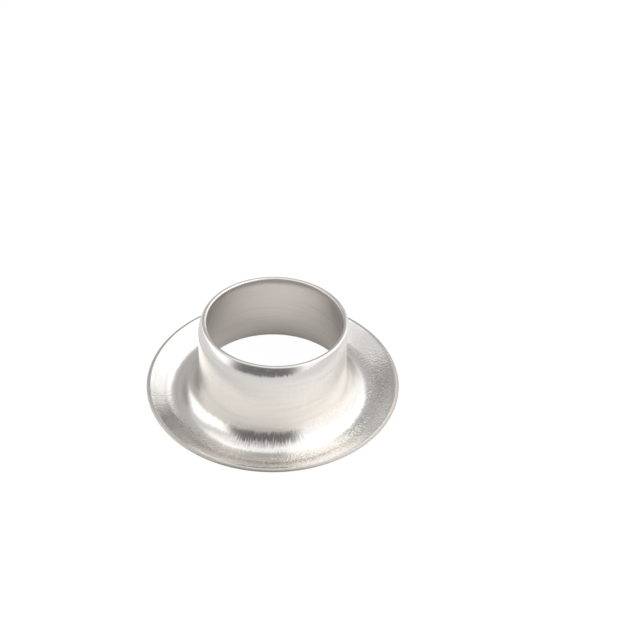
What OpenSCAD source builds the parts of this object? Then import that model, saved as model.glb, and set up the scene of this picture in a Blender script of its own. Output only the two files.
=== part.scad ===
// Eyelet: one piece of thin sheet metal, drawn and pierced.
// A straight barrel stands on a round flange. The lip of the barrel turns in a little, and the
// flange is a gutter: a hollow corner runs down from the barrel to the lowest ring, and from there
// the sheet rises as a cone to the rim.
// The origin is the centre of that lowest ring, on the surface that the eyelet stands on, +Z up.

/* [Sheet] */
// Thickness of the sheet, the same all over
sheet_t = 0.33; // [0.2:0.01:0.5]

/* [Barrel] */
// Outside diameter of the straight part of the barrel
barrel_d = 12.8; // [10:0.1:13.6]
// Height of the whole eyelet, from the lowest ring of the flange to the lip
height = 8.45; // [6.5:0.05:12]

/* [Lip] */
// Outside radius of the shoulder that turns the lip inwards
shoulder_r = 2.15; // [0.8:0.05:3]
// Angle through which the shoulder turns before the sheet ends
shoulder_angle = 36; // [20:1:60]

/* [Hollow corner] */
// Wide radius with which the corner leaves the barrel
upper_corner_r = 14; // [3:0.5:20]
// Angle that the wide radius turns the sheet outwards
upper_corner_angle = 8.5; // [2:0.5:12]
// Tight radius with which the corner runs on to the lowest ring
lower_corner_r = 1.95; // [0.8:0.05:2.4]

/* [Flange] */
// Outside diameter of the flange
flange_d = 22; // [21:0.1:30]
// Radius of the gutter's upper face, from its lowest ring to the cone
gutter_r = 1.7; // [0.8:0.05:3]
// Slope of the cone that rises to the rim
cone_angle = 28; // [5:1:35]

/* [Hidden] */
$fn = 180;
// Widest step between two points of an arc in the section, in degrees
arc_step = 5;
// Outside radius of the barrel
barrel_r = barrel_d / 2;
// Height at which the straight wall ends and the shoulder starts, and the centre of its arc
shoulder_z = height - shoulder_r * sin(shoulder_angle);
shoulder_centre = [barrel_r - shoulder_r, shoulder_z];
// How far the centre of the corner's wide arc lies from the centre of its tight one
reach_r = upper_corner_r - lower_corner_r;
// Height at which the straight wall starts, and the centres of the corner's two arcs
wall_z = sheet_t + lower_corner_r + reach_r * sin(upper_corner_angle);
upper_centre = [barrel_r + upper_corner_r, wall_z];
lower_centre = upper_centre - reach_r * [cos(upper_corner_angle), sin(upper_corner_angle)];
// Centre of the gutter's arc, above the lowest ring
gutter_centre = [lower_centre[0], sheet_t + gutter_r];
// Length of the cone along the sheet, so that the lower edge of the rim's cut reaches the diameter
cone_length = (flange_d / 2 - gutter_centre[0] - (gutter_r + sheet_t) * sin(cone_angle)) / cos(cone_angle);

// Points of an arc. One that carries on from another leaves out its first point, with first = 1.
function arc(centre, r, from, to, first = 0) =
    let (steps = ceil(abs(to - from) / arc_step))
    [for (i = [first : steps])
        let (a = from + (to - from) * i / steps)
        centre + r * [cos(a), sin(a)]];

// One face of the sheet, from the cut of the lip down the barrel and out to the cut of the rim.
// The depth is 0 for the outer face and the sheet's thickness for the inner one.
function face(depth) = concat(
    arc(shoulder_centre, shoulder_r - depth, shoulder_angle, 0),
    arc(upper_centre, upper_corner_r + depth, 180, 180 + upper_corner_angle),
    arc(lower_centre, lower_corner_r + depth, 180 + upper_corner_angle, 270, first = 1),
    arc(gutter_centre, gutter_r + depth, 270, 270 + cone_angle, first = 1),
    [rim_point(depth)]);

// Where the cut of the rim meets that face, at the end of the cone.
function rim_point(depth) = gutter_centre
    + (gutter_r + depth) * [sin(cone_angle), -cos(cone_angle)]
    + cone_length * [cos(cone_angle), sin(cone_angle)];

function reversed(points) = [for (i = [len(points) - 1 : -1 : 0]) points[i]];

// Section of the sheet: down its outer face and back up its inner face. Both cuts are square.
module sheet_section() {
    polygon(concat(face(0), reversed(face(sheet_t))));
}

module eyelet() {
    color("silver")
        rotate_extrude()
            sheet_section();
}

eyelet();
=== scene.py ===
# %% [markdown]
# # A sheet-metal eyelet in satin nickel
#
# This script dresses one small part: an eyelet of the kind that is riveted into tarpaulin or leather.
# It is one skin of thin sheet, drawn into a barrel on a round flange, tumbled and then nickel plated.
# Metal has no colour of its own that the eye can hold on to: it shows what stands around it. So the
# work splits in three: a skin whose curvature is exactly right, a finish that blurs the reflections
# as draw lines and tumbling do, and a small studio that is worth reflecting.

# %% [markdown]
# ## The frame
#
# The construction model comes first. Its one node gives the place and size of everything below.

import math

import bpy
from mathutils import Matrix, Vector


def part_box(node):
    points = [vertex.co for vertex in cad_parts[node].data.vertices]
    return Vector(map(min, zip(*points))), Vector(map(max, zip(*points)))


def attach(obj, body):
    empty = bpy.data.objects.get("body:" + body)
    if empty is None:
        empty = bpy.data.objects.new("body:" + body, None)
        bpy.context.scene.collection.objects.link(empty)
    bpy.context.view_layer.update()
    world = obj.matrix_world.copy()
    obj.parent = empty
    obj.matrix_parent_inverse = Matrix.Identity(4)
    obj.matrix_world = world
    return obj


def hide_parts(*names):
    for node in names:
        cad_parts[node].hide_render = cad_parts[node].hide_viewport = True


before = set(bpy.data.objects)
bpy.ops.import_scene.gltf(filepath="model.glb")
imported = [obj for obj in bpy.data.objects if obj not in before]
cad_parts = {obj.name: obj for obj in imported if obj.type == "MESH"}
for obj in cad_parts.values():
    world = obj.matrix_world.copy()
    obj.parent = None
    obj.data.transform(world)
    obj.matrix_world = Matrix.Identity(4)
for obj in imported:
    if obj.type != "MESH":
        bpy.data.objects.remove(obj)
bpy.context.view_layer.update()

# %% [markdown]
# ## The section of the sheet
#
# A drawn part is a line turned about an axis, so the line is worth getting right. From the lip
# outwards it is a shoulder, a straight wall, a hollow corner in two radii (wide above and tight below,
# as sheet bends when it is drawn over a die), a tight gutter and a straight cone. Every stretch leaves
# the last one in the same direction, because a metal surface shows the smallest kink as a line in its
# reflections. The overall sizes are read from the construction model's box, and the others repeat its
# own, but here the lip turns in a little less, on a slightly larger radius, and the cone is a degree
# steeper, to suit two rounded edges that only the scene has: the punch that cuts the flange out drags
# the upper edge of the rim down into a roll, and tumbling takes the burr off the lip.

# %% Sizes of the section, in metres
MM = 0.001
low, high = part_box("eyelet")
FLANGE_R = min(high.x, high.y, -low.x, -low.y)
HEIGHT = high.z - low.z

SHEET_T = 0.33 * MM
BARREL_R = 6.4 * MM
SHOULDER_R = 2.2 * MM
SHOULDER_ANGLE = math.radians(29.5)
UPPER_CORNER_R = 14 * MM
UPPER_CORNER_ANGLE = math.radians(8.5)
LOWER_CORNER_R = 1.95 * MM
GUTTER_R = 1.7 * MM
CONE_ANGLE = math.radians(29)
# The rolled upper edge of the rim, and the outer and inner edge of the lip
RIM_ROLL_R = 0.3 * MM
LIP_OUTER_R = 0.24 * MM
LIP_INNER_R = 0.04 * MM
print(f"flange radius {FLANGE_R / MM:.2f} mm, height {HEIGHT / MM:.2f} mm")

# %% [markdown]
# The mouth isn't quite true. The hole in the lip was pierced a little to one side and the sheet pulled
# more along its grain than across it, so the mouth sits off the axis, is slightly oval, and its plane
# leans by one degree. On the right the lip stands straight up, and at the front it turns in most.

# %% The mouth's own errors
MOUTH_SHIFT = 0.186 * MM
# Share of the radius by which the mouth is wider along X and narrower along Y
MOUTH_OVAL = 0.027
# Lean of the mouth's plane, in radians
MOUTH_TILT = 0.016
# Height at which the outer face ends and the rounded edge of the lip begins, before it leans
LIP_LEVEL = HEIGHT - 0.25 * MM
print(f"mouth {MOUTH_SHIFT / MM:.2f} mm off the axis, leaning by {math.degrees(MOUTH_TILT):.1f} degrees")


# %% Walk the section, one stretch after another
def step(point, heading, length):
    """The point that lies one length further on. A heading of 0 leads outwards, 90 degrees up."""
    return (point[0] + length * math.cos(heading), point[1] + length * math.sin(heading))


def bend(point, heading, radius, turn, steps):
    """Points of an arc that turns the heading to the left, or to the right where turn is negative."""
    side = math.copysign(math.pi / 2, turn)
    centre = step(point, heading + side, radius)
    return [step(centre, heading - side + turn * i / steps, radius) for i in range(1, steps + 1)]


def straight(point, heading, length, steps):
    """Points of a straight stretch."""
    return [step(point, heading, length * i / steps) for i in range(1, steps + 1)]


# %% The outer and the inner face
DOWN = -math.pi / 2
# Steps on each stretch: closest together where the sheet bends
SHOULDER_STEPS = 18
WALL_STEPS = 8
UPPER_CORNER_STEPS = 6
LOWER_CORNER_STEPS = 26
GUTTER_STEPS = 12
lip = (BARREL_R - SHOULDER_R * (1 - math.cos(SHOULDER_ANGLE)), LIP_LEVEL)
shoulder_z = LIP_LEVEL - SHOULDER_R * math.sin(SHOULDER_ANGLE)
reach = UPPER_CORNER_R - LOWER_CORNER_R
wall_end = SHEET_T + LOWER_CORNER_R + reach * math.sin(UPPER_CORNER_ANGLE)


def face(depth):
    """One face of the sheet from the lip to the end of the gutter. Depth 0 is the outer face."""
    rest = math.pi / 2 - UPPER_CORNER_ANGLE
    points = [step(lip, SHOULDER_ANGLE, -depth)]
    points += bend(points[-1], DOWN + SHOULDER_ANGLE, SHOULDER_R - depth, -SHOULDER_ANGLE, SHOULDER_STEPS)
    points += straight(points[-1], DOWN, shoulder_z - wall_end, WALL_STEPS)
    points += bend(points[-1], DOWN, UPPER_CORNER_R + depth, UPPER_CORNER_ANGLE, UPPER_CORNER_STEPS)
    points += bend(points[-1], -rest, LOWER_CORNER_R + depth, rest, LOWER_CORNER_STEPS)
    points += bend(points[-1], 0, GUTTER_R + depth, CONE_ANGLE, GUTTER_STEPS)
    return points


outer, inner = face(0), face(SHEET_T)
print(f"{len(outer)} points on a face, wall from {wall_end / MM:.2f} to {shoulder_z / MM:.2f} mm")

# %% Close the section at the rim
CONE_STEPS = 8
ROLL_STEPS = 10
roll_turn = math.acos(1 - SHEET_T / RIM_ROLL_R)
last_lean = math.pi / 2 + CONE_ANGLE - roll_turn
roll_start_r = FLANGE_R - RIM_ROLL_R * (math.cos(last_lean) + math.sin(CONE_ANGLE))
cone_length = (roll_start_r - outer[-1][0]) / math.cos(CONE_ANGLE)
rim = straight(outer[-1], CONE_ANGLE, cone_length, CONE_STEPS)
rim += bend(rim[-1], CONE_ANGLE, RIM_ROLL_R, -roll_turn, ROLL_STEPS)
print(f"rim at {rim[CONE_STEPS - 1][1] / MM:.2f} mm, rolled through {math.degrees(roll_turn):.0f} degrees")

# %% Close the section at the lip
UP_LIP = math.pi / 2 + SHOULDER_ANGLE
QUARTER_RIGHT = -math.pi / 2
LIP_INNER_STEPS = 3
LIP_FLAT_STEPS = 2
LIP_OUTER_STEPS = 6
edge = straight(inner[0], UP_LIP, LIP_OUTER_R - LIP_INNER_R, 1)
edge += bend(edge[-1], UP_LIP, LIP_INNER_R, QUARTER_RIGHT, LIP_INNER_STEPS)
edge += straight(edge[-1], SHOULDER_ANGLE, SHEET_T - LIP_INNER_R - LIP_OUTER_R, LIP_FLAT_STEPS)
edge += bend(edge[-1], SHOULDER_ANGLE, LIP_OUTER_R, QUARTER_RIGHT, LIP_OUTER_STEPS)
# The last point of the edge is the first of the outer face
edge.pop()
section = outer + rim + inner[::-1] + edge
print(f"{len(section)} points, top {max(z for r, z in section) / MM:.3f} mm")

# %% [markdown]
# Each point of the section also carries three numbers for later: how far it takes part in the mouth's
# errors, how far along the sheet it lies, and whether it belongs to a cut edge, where the plate is
# duller than on the rolled faces.

# %% Numbers that ride along the section
# Steps of the rim's roll that are still the bright face, and how dull the step after them is
ROLL_BRIGHT = 3
ROLL_HALF_DULL = 0.5
# How dull the lip's edge is, which tumbling has polished
LIP_DULL = 0.3
roll_dull = [0] * ROLL_BRIGHT + [ROLL_HALF_DULL] + [1] * (ROLL_STEPS - ROLL_BRIGHT - 1)
fading = [(1 - i / SHOULDER_STEPS) ** 2 for i in range(SHOULDER_STEPS + 1)]
fading += [0] * (len(outer) - len(fading))
shares = fading + [0] * len(rim) + fading[::-1] + [1] * len(edge)
cuts = [0] * (len(outer) + CONE_STEPS) + roll_dull + [0] * len(inner) + [LIP_DULL] * len(edge)
travels = [0]
for last, new in zip(section, section[1:]):
    travels.append(travels[-1] + math.dist(last, new))
print(f"the outer face is {travels[len(outer) + len(rim) - 1] / MM:.2f} mm long from lip to rim")

# %% [markdown]
# ## The skin
#
# Spin would turn the section in one go, but then the mouth would be a true circle. A stack of rings
# does it as easily: a circle is extruded along the section, and each new ring is scaled to its size
# and, over the shoulder, slid, squeezed and leant to fit the mouth. A bridge from the last ring to the
# first closes the skin.

# %% Extrude the skin around the section
# Corners of each ring: at the rim they are 0.22 mm apart
AROUND = 320
# Faces that meet at more than this keep a sharp edge between them
SHARP_ANGLE = math.radians(40)


def ring_shape(station):
    """Middle along X, radius along X and along Y, height and lean of one ring of the skin."""
    radius, height = section[station]
    share = shares[station]
    return (MOUTH_SHIFT * share, radius * (1 + MOUTH_OVAL * share), radius * (1 - MOUTH_OVAL * share),
            height, MOUTH_TILT * share)


start = section.index(rim[0])
order = list(range(start, len(section))) + list(range(start))
middle, along_x, along_y, height, lean = ring_shape(start)
bpy.ops.object.select_all(action="DESELECT")
bpy.ops.mesh.primitive_circle_add(vertices=AROUND, radius=along_x, location=(0, 0, 0))
piece = bpy.context.object
piece.name = "eyelet_skin"
bpy.ops.object.mode_set(mode="EDIT")
bpy.ops.mesh.select_all(action="SELECT")
bpy.ops.transform.translate(value=(0, 0, height))
for last, new in zip(order, order[1:]):
    old_middle, old_x, old_y, old_height, old_lean = ring_shape(last)
    middle, along_x, along_y, height, lean = ring_shape(new)
    way = (middle - old_middle, 0, height - old_height)
    bpy.ops.mesh.extrude_edges_move(TRANSFORM_OT_translate={"value": way})
    centre = (middle, 0, height)
    bpy.ops.transform.resize(value=(along_x / old_x, along_y / old_y, 1), center_override=centre)
    if lean != old_lean:
        bpy.ops.transform.rotate(value=old_lean - lean, orient_axis="Y", center_override=centre)
bpy.ops.mesh.select_all(action="DESELECT")
bpy.ops.mesh.select_non_manifold()
bpy.ops.mesh.bridge_edge_loops()
bpy.ops.mesh.select_all(action="SELECT")
bpy.ops.mesh.normals_make_consistent(inside=False)
bpy.ops.object.mode_set(mode="OBJECT")
bpy.ops.object.shade_smooth_by_angle(angle=SHARP_ANGLE)
print(f"{len(piece.data.polygons)} faces on {len(order)} rings")

# %% Write the travel and the cut edges onto the rings
travel_row = piece.data.attributes.new("travel_mm", "FLOAT", "POINT")
cut_row = piece.data.attributes.new("cut", "FLOAT", "POINT")
for number, station in enumerate(order):
    for corner in range(number * AROUND, (number + 1) * AROUND):
        travel_row.data[corner].value = travels[station] / MM
        cut_row.data[corner].value = cuts[station]
# The skin beyond this distance to either side is near enough to the lip's ends to show its lean
NEAR_LIP_END = 5.5 * MM
corners = [v.co for v in piece.data.vertices]
lip_left = max(c.z for c in corners if c.x < -NEAR_LIP_END)
lip_right = max(c.z for c in corners if c.x > NEAR_LIP_END)
print(f"lowest point {min(c.z for c in corners) / MM:.4f} mm")
print(f"lip {lip_left / MM:.3f} mm high at -X and {lip_right / MM:.3f} mm at +X")


# %% [markdown]
# ## The finish
#
# Nickel over drawn steel keeps every mark of its making, because the plate is only a few microns
# thick. Three marks matter here: draw lines, which the die leaves along the pull; turning lines, which
# run round the part; and a fine grain on the flange, where the sheet lay under the blank holder. The
# other way to get them would be photographs of metal, but those can't know where the pull went.
#
# Three small functions keep what follows short: one reads a colour, one adds a node with its settings
# and its links, and one starts a material.

# %% Helpers
def linear(hex_colour):
    """An sRGB hex colour as Blender's linear RGBA."""
    values = [int(hex_colour[i:i + 2], 16) / 255 for i in (1, 3, 5)]
    return [v / 12.92 if v <= 0.04045 else ((v + 0.055) / 1.055) ** 2.4 for v in values] + [1]


def add_node(tree, kind, settings=None, links=None):
    """Adds one node. Settings are the node's own properties or its inputs, and links feed its inputs."""
    node = tree.nodes.new(kind)
    for key, value in (settings or {}).items():
        if isinstance(key, str) and hasattr(node, key):
            setattr(node, key, value)
        else:
            node.inputs[key].default_value = value
    for key, source in (links or {}).items():
        tree.links.new(source, node.inputs[key])
    return node


def new_material(name):
    """An empty node material."""
    material = bpy.data.materials.new(name)
    material.use_nodes = True
    material.node_tree.nodes.clear()
    return material, material.node_tree


print(f"a mid grey, #808080, is {linear('#808080')[0]:.3f} in linear light")

# %% [markdown]
# Every mark follows the way the sheet was formed, so the shader first finds out where it is: which way
# leads outwards from the axis, how far from the axis the point lies, how far along the sheet it has
# travelled from the lip, which way runs along the sheet at right angles to the rings, and how near the
# point is to the front of the eyelet, where the sheet was worked hardest.

# %% Where on the sheet
# The way to the front, turned a little to the right
FRONT = (0.3, -0.95, 0)
nickel, tree = new_material("satin_nickel_plate")
place = add_node(tree, "ShaderNodeTexCoord").outputs["Object"]
flat = add_node(tree, "ShaderNodeVectorMath", {
    "operation": "MULTIPLY", 1: (1, 1, 0)}, {0: place}).outputs[0]
outward = add_node(tree, "ShaderNodeVectorMath", {"operation": "NORMALIZE"}, {0: flat}).outputs[0]
from_axis = add_node(tree, "ShaderNodeVectorMath", {"operation": "LENGTH"}, {0: flat}).outputs["Value"]
travel = add_node(tree, "ShaderNodeAttribute", {"attribute_name": "travel_mm"}).outputs["Fac"]
cut = add_node(tree, "ShaderNodeAttribute", {"attribute_name": "cut"}).outputs["Fac"]
facing = add_node(tree, "ShaderNodeNewGeometry").outputs["Normal"]
sideways = add_node(tree, "ShaderNodeVectorMath", {
    "operation": "CROSS_PRODUCT", 1: (0, 0, 1)}, {0: outward}).outputs[0]
slope_way = add_node(tree, "ShaderNodeVectorMath", {
    "operation": "CROSS_PRODUCT"}, {0: facing, 1: sideways}).outputs[0]
# 1 at the front, and down to -1 behind
to_front = add_node(tree, "ShaderNodeVectorMath", {
    "operation": "DOT_PRODUCT", 1: FRONT}, {0: outward}).outputs["Value"]
print("material:", nickel.name)

# %% [markdown]
# ### Draw lines
#
# The die scores the sheet along its pull. Where a dark reflection ends, these lines make it end in
# fine teeth: it is what tells the eye that the dark band in the hollow corner is a reflection in
# drawn metal and not paint. Long, narrow noise stands for them. It is wrapped round the axis, so that
# every line runs down the slope.

# %% Draw lines
# Lines around the eyelet. At 8 mm from the axis one is 0.1 mm wide, about a pixel of the render: real
# ones are finer, and wouldn't show.
LINES_AROUND = 500
# Length of a line along the sheet, in mm
LINE_LENGTH = 1.0
# Middle of the noise, which is taken off, so that the lines lean both ways
NOISE_MIDDLE = 0.5
around = add_node(tree, "ShaderNodeVectorMath", {
    "operation": "SCALE", "Scale": LINES_AROUND / (2 * math.pi)}, {0: outward}).outputs[0]
along = add_node(tree, "ShaderNodeMath", {"operation": "DIVIDE", 1: LINE_LENGTH}, {0: travel}).outputs[0]
along = add_node(tree, "ShaderNodeCombineXYZ", links={"Z": along}).outputs[0]
where = add_node(tree, "ShaderNodeVectorMath", {"operation": "ADD"}, {0: around, 1: along}).outputs[0]
lines = add_node(tree, "ShaderNodeTexNoise", {
    "Scale": 1.0, "Detail": 2.0, "Roughness": 0.6}, {"Vector": where}).outputs[0]
lines = add_node(tree, "ShaderNodeMath", {
    "operation": "SUBTRACT", 1: NOISE_MIDDLE}, {0: lines}).outputs[0]
print(f"{LINES_AROUND} draw lines of {LINE_LENGTH} mm")

# %% [markdown]
# A ramp along the sheet says how strong they are: strong at the lip and in the hollow corner, where the
# sheet was pulled over an edge, fainter in the gutter, and nearly none on the wall, which the punch has
# ironed smooth. They are deepest at the front.

# %% Where the sheet is scored
# Distance from the lip along the sheet, in mm, and how strongly the sheet is scored there
DRAWN = [
    (0, 0.65), (1.2, 0.15), (6, 0.1), (6.8, 1), (7.7, 1), (8.4, 0.4), (8.9, 0.4), (10.2, 0.4),
    (11, 0.15), (12.5, 0.1), (13.2, 0)]
# Length of the ramp, in mm, which ends beyond the rim
RAMP_LENGTH = 20.0
# How near to the front the lines begin to deepen and are at their full depth, and their depth elsewhere
DEEPENS = 0.2
DEEPEST = 0.85
DEPTH_ELSEWHERE = 0.18
drawn = add_node(tree, "ShaderNodeValToRGB", links={0: add_node(tree, "ShaderNodeMapRange", {
    "From Max": RAMP_LENGTH}, {"Value": travel}).outputs[0]})
while len(drawn.color_ramp.elements) < len(DRAWN):
    drawn.color_ramp.elements.new(0.5)
for mark, (reached, strength) in zip(drawn.color_ramp.elements, DRAWN):
    mark.position = reached / RAMP_LENGTH
    mark.color = (strength, strength, strength, 1)
lines = add_node(tree, "ShaderNodeMath", {
    "operation": "MULTIPLY"}, {0: lines, 1: drawn.outputs[0]}).outputs[0]
deep = add_node(tree, "ShaderNodeMapRange", {
    "From Min": DEEPENS, "From Max": DEEPEST, "To Min": DEPTH_ELSEWHERE}, {"Value": to_front}).outputs[0]
lines = add_node(tree, "ShaderNodeMath", {"operation": "MULTIPLY"}, {0: lines, 1: deep}).outputs[0]
print(f"draw lines from the lip to {DRAWN[-1][0]} mm")

# %% [markdown]
# Each line leans the surface a little up or down the slope, so the noise goes straight into the normal.
# Bump would do it as well, but it blurs lines as fine as these.

# %% Lean the surface
# Twice the lean of the steepest line, in radians, because the noise goes half a unit up and down
LINE_TILT = 0.85
tilt = add_node(tree, "ShaderNodeMath", {"operation": "MULTIPLY", 1: LINE_TILT}, {0: lines}).outputs[0]
tilt = add_node(tree, "ShaderNodeVectorMath", {
    "operation": "SCALE"}, {0: slope_way, "Scale": tilt}).outputs[0]
scratched = add_node(tree, "ShaderNodeVectorMath", {"operation": "ADD"}, {0: facing, 1: tilt}).outputs[0]
scratched = add_node(tree, "ShaderNodeVectorMath", {"operation": "NORMALIZE"}, {0: scratched}).outputs[0]
print(f"the steepest line leans by {math.degrees(LINE_TILT / 2):.0f} degrees")

# %% [markdown]
# ### Grain
#
# The blank holder presses on the flange while the middle is pulled in, and the coarse crystals of the
# steel come up as an orange peel. On this eyelet it is strongest at the front and at the right, from
# the lowest ring to the middle of the cone, so masks let it set in at the ring and fade it towards the
# rim, the left and the back. It does two things: it is a shallow relief, and its tops are dull.

# %% Grain
# Size of one grain. Real orange peel is about half as coarse, which would be one pixel of the render.
GRAIN = 0.2 * MM
# Height of the tops over the hollows, drawn as coarse as the grains are
GRAIN_DEPTH = 0.045 * MM
# Distances from the axis between which the grain sets in, and between which it fades towards the rim
SETS_IN = (8 * MM, 8.6 * MM)
FADES = (9.6 * MM, 10.8 * MM)
GRAIN_AT_RIM = 0.55
# How near to the front the grain stops being weak and is at its full strength, and how weak it is
STRENGTHENS = (-0.4, 0.25)
GRAIN_BEHIND = 0.25
# How far the tops of the grain go from bright plate to dull, and the heights from which they do
GRAIN_FILM = 0.47
TOPS = (0.43, 0.63)
grain = add_node(tree, "ShaderNodeTexNoise", {
    "Scale": 1 / GRAIN, "Detail": 1.5}, {"Vector": place}).outputs[0]
outer_ring = add_node(tree, "ShaderNodeMapRange", {
    "From Min": SETS_IN[0], "From Max": SETS_IN[1]}, {"Value": from_axis}).outputs[0]
to_rim = add_node(tree, "ShaderNodeMapRange", {
    "From Min": FADES[0], "From Max": FADES[1],
    "To Min": 1, "To Max": GRAIN_AT_RIM}, {"Value": from_axis}).outputs[0]
outer_ring = add_node(tree, "ShaderNodeMath", {
    "operation": "MULTIPLY"}, {0: outer_ring, 1: to_rim}).outputs[0]
worn = add_node(tree, "ShaderNodeMapRange", {
    "From Min": STRENGTHENS[0], "From Max": STRENGTHENS[1],
    "To Min": GRAIN_BEHIND}, {"Value": to_front}).outputs[0]
grain = add_node(tree, "ShaderNodeMath", {"operation": "MULTIPLY"}, {0: grain, 1: outer_ring}).outputs[0]
grain = add_node(tree, "ShaderNodeMath", {"operation": "MULTIPLY"}, {0: grain, 1: worn}).outputs[0]
film = add_node(tree, "ShaderNodeMapRange", {
    "From Min": TOPS[0], "From Max": TOPS[1], "To Max": GRAIN_FILM}, {"Value": grain}).outputs[0]
grain = add_node(tree, "ShaderNodeMath", {"operation": "MULTIPLY", 1: GRAIN_DEPTH}, {0: grain}).outputs[0]
print(f"grain of {GRAIN / MM:.2f} mm")

# %% [markdown]
# ### Turning lines and waves
#
# Thin, dull rings run round the part, where the tool rubbed against it. They show best on the wall and
# inside the barrel. And no sheet is flat: broad, shallow waves bend long reflections, so that no edge of
# light is a perfect curve.

# %% Turning lines
# Distance between the rings along the sheet, in mm. Real ones lie closer, and wouldn't show.
RING_SPACING = 0.35
# How far the rings go from bright plate to dull, and the heights of the noise from which they do
RING_FILM = 0.21
RING_TOPS = (0.5, 0.75)
rings = add_node(tree, "ShaderNodeMath", {"operation": "DIVIDE", 1: RING_SPACING}, {0: travel}).outputs[0]
rings = add_node(tree, "ShaderNodeCombineXYZ", links={"Z": rings}).outputs[0]
rings = add_node(tree, "ShaderNodeVectorMath", {"operation": "ADD"}, {0: outward, 1: rings}).outputs[0]
rings = add_node(tree, "ShaderNodeTexNoise", {"Scale": 1.0, "Detail": 2.0}, {"Vector": rings}).outputs[0]
rings = add_node(tree, "ShaderNodeMapRange", {
    "From Min": RING_TOPS[0], "From Max": RING_TOPS[1], "To Max": RING_FILM}, {"Value": rings}).outputs[0]
film = add_node(tree, "ShaderNodeMath", {"operation": "MAXIMUM"}, {0: film, 1: rings}).outputs[0]
print(f"turning lines {RING_SPACING} mm apart")

# %% Waves
# Length and height of the waves
WAVE = 2.2 * MM
WAVE_DEPTH = 0.042 * MM
wave = add_node(tree, "ShaderNodeTexNoise", {"Scale": 1 / WAVE, "Detail": 1.0}, {"Vector": place}).outputs[0]
relief = add_node(tree, "ShaderNodeMath", {
    "operation": "MULTIPLY_ADD", 1: WAVE_DEPTH}, {0: wave, 2: grain}).outputs[0]
print(f"waves of {WAVE / MM:.1f} mm")

# %% [markdown]
# ### The plate
#
# Nickel is a warm grey: it gives back a little less blue than red, and light that bounces twice, as it
# does inside the barrel and in the hollow corner, comes out warmer still. The plate is satin and not
# mirror bright, because the eyelets are tumbled, so the dark and bright things around them blur into
# soft bands. The cut edge of the rim is rougher and darker, since a punch tears more than it cuts.

# %% Satin nickel plate
# Bright plate: pale, faintly warm, with soft reflections
NICKEL = linear("#E8E5E1")
# The same plate where it is dull: greyer and browner, on the torn edge, on the grain and along the rings
DULL_NICKEL = linear("#C2BDB6")
SATIN_ROUGHNESS = 0.24
TORN_ROUGHNESS = 0.5
dull = add_node(tree, "ShaderNodeMath", {"operation": "MAXIMUM"}, {0: cut, 1: film}).outputs[0]
colour = add_node(tree, "ShaderNodeMix", {
    "data_type": "RGBA", 6: NICKEL, 7: DULL_NICKEL}, {0: dull}).outputs[2]
roughness = add_node(tree, "ShaderNodeMapRange", {
    "To Min": SATIN_ROUGHNESS, "To Max": TORN_ROUGHNESS}, {"Value": cut}).outputs[0]
# The relief is already in metres, so the bump leaves it as it is
bump = add_node(tree, "ShaderNodeBump", {
    "Strength": 1.0, "Distance": 1.0}, {"Height": relief, "Normal": scratched}).outputs[0]
shader = add_node(tree, "ShaderNodeBsdfPrincipled", {"Metallic": 1.0}, {
    "Base Color": colour, "Roughness": roughness, "Normal": bump})
add_node(tree, "ShaderNodeOutputMaterial", links={"Surface": shader.outputs["BSDF"]})
piece.data.materials.append(nickel)
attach(piece, "root")
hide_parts("eyelet")
print("finish on", piece.name, "with", len(nickel.node_tree.nodes), "nodes")

# %% [markdown]
# ## The studio
#
# A catalogue picture of bright metal is taken in a tent of white cloth, and what isn't white in the
# metal is a gap in the tent. The dark band under the lip and the one in the hollow corner are both the
# dark room in front, seen past the camera, and the grey crescent at the left of the flange is a doorway
# behind. The grey inside of the barrel isn't the tent at all: it mirrors the paper in the hole.
#
# The tent is the world here, and each gap or bright wall is a soft-edged patch of it. Lamps and real
# cards would do the same, but a patch is easier to move, and it throws no hard shadow. The patches were
# set first, for one stretch of the metal after another. A search then moved and dimmed them
# together by small random steps, and kept the steps that brought the metal nearer to the photo.

# %% Cards around the eyelet
TENT = 1.25
# Each card: azimuth of its middle (0 behind the eyelet, 90 to its right), half width, lower and upper
# edge, all in degrees, and its brightness. A later card covers the ones before it, and one with a half
# width over 180 goes all the way round.
CARDS = {
    "left wall": (-85, 40, -30, 63, 1.5),
    "gap above the left wall": (-68, 49, 39, 56, 0.7),
    "dim ceiling at the left": (-116, 39, 60, 74, 0.84),
    "lamp above the right wall": (45, 89, 36, 90, 1.78),
    "ceiling": (0, 200, 73, 100, 1.14),
    "doorway behind": (-13, 34, 6, 61, 0.5),
    "dark chair in the doorway": (-43, 11, 19, 40, 0.28),
    "stand behind": (17, 12, -30, 20, 0.13),
    "dark room in front": (-167, 46, -30, 52, 0.17),
    "grey ceiling in front": (-170, 46, 52, 72, 0.54),
}
# How far the edges of a card are blurred, in degrees
SOFT_AZIMUTH = 10
SOFT_ELEVATION = 7
print("a tent with", len(CARDS), "cards")

# %% [markdown]
# A card is a product of three soft steps: one on the distance from its middle, in azimuth, and one for
# each of its lower and upper edge. The product says how much of its brightness replaces what was there.

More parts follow.
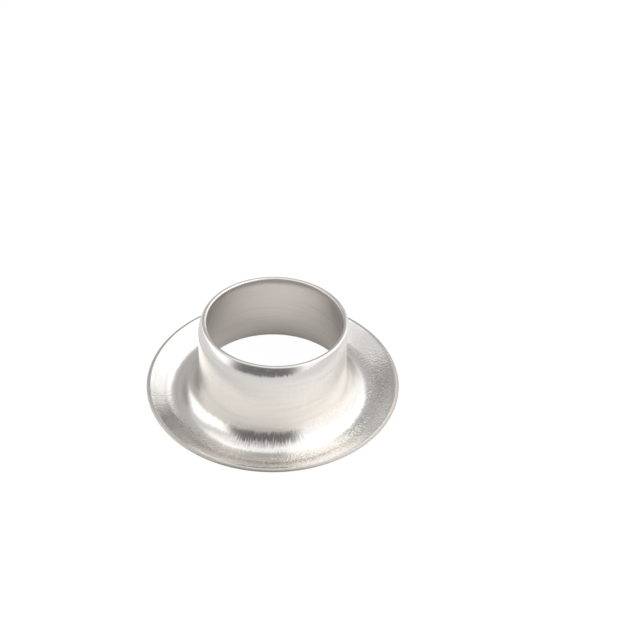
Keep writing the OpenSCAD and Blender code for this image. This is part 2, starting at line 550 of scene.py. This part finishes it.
# %% Hang the cards
world = bpy.data.worlds.new("light_tent")
bpy.context.scene.world = world
world.use_nodes = True
tree = world.node_tree
tree.nodes.clear()
direction = add_node(tree, "ShaderNodeTexCoord").outputs["Generated"]
axes = add_node(tree, "ShaderNodeSeparateXYZ", links={0: direction}).outputs
azimuth = add_node(tree, "ShaderNodeMath", {"operation": "ARCTAN2"}, {0: axes["X"], 1: axes["Y"]}).outputs[0]
azimuth = add_node(tree, "ShaderNodeMath", {"operation": "DEGREES"}, {0: azimuth}).outputs[0]
elevation = add_node(tree, "ShaderNodeMath", {"operation": "ARCSINE"}, {0: axes["Z"]}).outputs[0]
elevation = add_node(tree, "ShaderNodeMath", {"operation": "DEGREES"}, {0: elevation}).outputs[0]
light = add_node(tree, "ShaderNodeValue").outputs[0]
light.default_value = TENT
for name, (middle, half_width, lower, upper, brightness) in CARDS.items():
    aside = add_node(tree, "ShaderNodeMath", {"operation": "SUBTRACT", 1: middle}, {0: azimuth}).outputs[0]
    aside = add_node(tree, "ShaderNodeMath", {"operation": "WRAP", 1: -180, 2: 180}, {0: aside}).outputs[0]
    aside = add_node(tree, "ShaderNodeMath", {"operation": "ABSOLUTE"}, {0: aside}).outputs[0]
    cover = add_node(tree, "ShaderNodeMapRange", {
        "interpolation_type": "SMOOTHSTEP", "From Min": half_width - SOFT_AZIMUTH,
        "From Max": half_width + SOFT_AZIMUTH, "To Min": 1, "To Max": 0}, {"Value": aside}).outputs[0]
    for height, rising in ((lower, 1), (upper, 0)):
        share = add_node(tree, "ShaderNodeMapRange", {
            "interpolation_type": "SMOOTHSTEP", "From Min": height - SOFT_ELEVATION,
            "From Max": height + SOFT_ELEVATION, "To Min": 1 - rising, "To Max": rising},
            {"Value": elevation}).outputs[0]
        cover = add_node(tree, "ShaderNodeMath", {"operation": "MULTIPLY"}, {0: cover, 1: share}).outputs[0]
    light = add_node(tree, "ShaderNodeMix", {"label": name, 3: brightness}, {0: cover, 2: light}).outputs[0]
print("the world has", len(tree.nodes), "nodes so far")

# %% [markdown]
# The camera itself sees plain white where it looks past the floor, and only the metal sees the tent.

# %% What the camera sees of the tent
tent = add_node(tree, "ShaderNodeBackground", {"Color": (1, 1, 1, 1)}, {"Strength": light})
backdrop = add_node(tree, "ShaderNodeBackground", {"Color": (1, 1, 1, 1)})
rays = add_node(tree, "ShaderNodeLightPath").outputs
sky = add_node(tree, "ShaderNodeMixShader", {}, {
    0: rays["Is Camera Ray"], 1: tent.outputs[0], 2: backdrop.outputs[0]})
add_node(tree, "ShaderNodeOutputWorld", links={"Surface": sky.outputs[0]})
print("world:", world.name)

# %% [markdown]
# ## The floor
#
# The eyelet lies on white paper. In the photo the paper is burnt out to pure white, even in the hole,
# so the camera sees mostly a plain white and just a breath of the shadow. A lamp bright enough to burn
# it out would burn out the metal too, so the white is given to the camera's own rays.

# %% Paper
# Radius of the sheet of paper, in metres, and the corners of its edge
PAPER_R = 1.5
PAPER_CORNERS = 96
# Matt white paper: a little grey, so that a shadow shows on it
PAPER = linear("#D0D0D0")
# The white that the camera sees, and how much of it there is over the lit paper
SEEN_WHITE = 1.08
SEEN_SHARE = 0.9
bpy.ops.object.select_all(action="DESELECT")
bpy.ops.mesh.primitive_circle_add(
    vertices=PAPER_CORNERS, radius=PAPER_R, fill_type="NGON", location=(0, 0, 0))
floor = bpy.context.object
floor.name = "floor"
paper, tree = new_material("white_paper")
diffuse = add_node(tree, "ShaderNodeBsdfDiffuse", {"Color": PAPER})
burnt_out = add_node(tree, "ShaderNodeEmission", {"Color": (1, 1, 1, 1), "Strength": SEEN_WHITE})
seen = add_node(tree, "ShaderNodeMixShader", {0: SEEN_SHARE}, {
    1: diffuse.outputs[0], 2: burnt_out.outputs[0]})
print("floor:", floor.name)

# %% [markdown]
# The metal sees the paper as it is, in shadow under the flange and inside the barrel. Painted light is
# added for it alone, a low glow though the paper is no lamp, and it sets the warm grey of the barrel's
# inside. In the hole the painted light rises towards the front, because that is what the upper and
# lighter part of the inside mirrors. Beside the rim it is painted brighter at the front right and darker
# at the back left.

# %% Painted light on the paper
# Painted light inside the hole, its rise per mm towards the front, and the glow out in the open
PAINTED_HOLE_LIGHT = 0.272
PAINTED_HOLE_RISE = 0.025
OPEN_GLOW = 0.19
# Distances from the axis between which the glow changes to that of the open, and where the hole ends
OPENS = (8 * MM, 20 * MM)
HOLE_ENDS = (7 * MM, 9 * MM)
spot = add_node(tree, "ShaderNodeTexCoord").outputs["Object"]
distance = add_node(tree, "ShaderNodeVectorMath", {"operation": "LENGTH"}, {0: spot}).outputs["Value"]
painted_glow = add_node(tree, "ShaderNodeMapRange", {
    "From Min": OPENS[0], "From Max": OPENS[1],
    "To Min": PAINTED_HOLE_LIGHT, "To Max": OPEN_GLOW}, {"Value": distance}).outputs[0]
rise = add_node(tree, "ShaderNodeMapRange", {
    "From Min": HOLE_ENDS[0], "From Max": HOLE_ENDS[1],
    "To Min": -PAINTED_HOLE_RISE / MM, "To Max": 0}, {"Value": distance}).outputs[0]
backward = add_node(tree, "ShaderNodeSeparateXYZ", links={0: spot}).outputs["Y"]
painted_glow = add_node(tree, "ShaderNodeMath", {
    "operation": "MULTIPLY_ADD"}, {0: rise, 1: backward, 2: painted_glow}).outputs[0]
print(f"glow {PAINTED_HOLE_LIGHT} in the hole and {OPEN_GLOW} in the open")

# %% Painted light and shade next to the rim
# How much painted light the strip beside the rim gains at the front right and loses at the back left,
# and the way to its middle, at the front right
PAINTED_SIDE_LIGHT = 0.23
SIDE_WAY = (0.82, -0.57, 0)
# Inner and outer side of the strip, in mm from the axis: where it is full, and where it has faded out
SIDES = ((9, 7.5), (13, 15))
off_middle = add_node(tree, "ShaderNodeVectorMath", {"operation": "NORMALIZE"}, {0: spot}).outputs[0]
side = add_node(tree, "ShaderNodeVectorMath", {
    "operation": "DOT_PRODUCT", 1: SIDE_WAY}, {0: off_middle}).outputs["Value"]
for full, faded in SIDES:
    share = add_node(tree, "ShaderNodeMapRange", {
        "From Min": full * MM, "From Max": faded * MM,
        "To Min": 1, "To Max": 0}, {"Value": distance}).outputs[0]
    side = add_node(tree, "ShaderNodeMath", {"operation": "MULTIPLY"}, {0: side, 1: share}).outputs[0]
painted_glow = add_node(tree, "ShaderNodeMath", {
    "operation": "MULTIPLY_ADD", 1: PAINTED_SIDE_LIGHT, "use_clamp": True}, {0: side, 2: painted_glow}).outputs[0]
print(f"{PAINTED_SIDE_LIGHT} more at the front right")

# %% Colour of the painted light, and who sees what
# Painted warm light on the paper in the hole, standing for the light that the barrel throws on it
PAINTED_HOLE_WARMTH = linear("#FFF4F0")
in_hole = add_node(tree, "ShaderNodeMapRange", {
    "From Min": HOLE_ENDS[0], "From Max": HOLE_ENDS[1],
    "To Min": 1, "To Max": 0}, {"Value": distance}).outputs[0]
painted_light_colour = add_node(tree, "ShaderNodeMix", {
    "data_type": "RGBA", 6: (1, 1, 1, 1), 7: PAINTED_HOLE_WARMTH}, {0: in_hole}).outputs[2]
painted_light = add_node(tree, "ShaderNodeEmission", links={"Color": painted_light_colour, "Strength": painted_glow})
paper_with_painted_light = add_node(tree, "ShaderNodeAddShader", {}, {0: diffuse.outputs[0], 1: painted_light.outputs[0]})
rays = add_node(tree, "ShaderNodeLightPath").outputs
lit = add_node(tree, "ShaderNodeMixShader", {}, {
    0: rays["Is Glossy Ray"], 1: diffuse.outputs[0], 2: paper_with_painted_light.outputs[0]})
lit = add_node(tree, "ShaderNodeMixShader", {}, {
    0: rays["Is Camera Ray"], 1: lit.outputs[0], 2: seen.outputs[0]})
add_node(tree, "ShaderNodeOutputMaterial", links={"Surface": lit.outputs[0]})
floor.data.materials.append(paper)
print("paper on the floor with", len(tree.nodes), "nodes")

# %% [markdown]
# ## The camera
#
# The photo was taken from 43 degrees above the floor with a long lens, about 22 cm away. Both come from
# one fit: three circles of the eyelet, its rim, its mouth and its hole, are ellipses in the photo, and
# only one camera sees all three as they are. The eyelet stands left of the middle there, which is a
# shift of the lens and no turn, so that its upright lines stay upright.

# %% Camera
# Edge of the picture, focal length and the pixel that the lens points at, all in pixels of the photo
FRAME_PX = 640
FOCAL_PX = 2500
CENTRE_PX = (272.73, 381.77)
# Middle of the fitted circles, and the camera's height over the floor as an angle, in radians
LOOK_AT = Vector((0, 0, 1.271 * MM))
TILT = 0.7487
# Pixels of the photo for one mm at the middle of the circles, which gives the distance
PX_PER_MM = 11.4637
DISTANCE = FOCAL_PX / PX_PER_MM * MM
# Width of a full-frame sensor, in mm
SENSOR = 36
# Nearest and furthest that the camera sees, in metres
NEAREST = 0.001
FURTHEST = 10
camera_data = bpy.data.cameras.new("camera")
camera_data.sensor_width = SENSOR
camera_data.lens = FOCAL_PX / FRAME_PX * SENSOR
camera_data.shift_x = (FRAME_PX / 2 - CENTRE_PX[0]) / FRAME_PX
camera_data.shift_y = (CENTRE_PX[1] - FRAME_PX / 2) / FRAME_PX
camera_data.clip_start = NEAREST
camera_data.clip_end = FURTHEST
camera = bpy.data.objects.new("camera", camera_data)
bpy.context.scene.collection.objects.link(camera)
camera.location = LOOK_AT + DISTANCE * Vector((0, -math.cos(TILT), math.sin(TILT)))
camera.rotation_euler = (math.pi / 2 - TILT, 0, 0)
bpy.context.scene.camera = camera
print(f"lens {camera_data.lens:.1f} mm, camera {DISTANCE / MM:.0f} mm away")

# %% [markdown]
# The Standard view keeps the colours as they were set, so a white of strength 1 stays the photo's
# white. The softer views would turn the paper grey.

# %% View
bpy.context.scene.view_settings.view_transform = "Standard"
print("view:", bpy.context.scene.view_settings.view_transform)
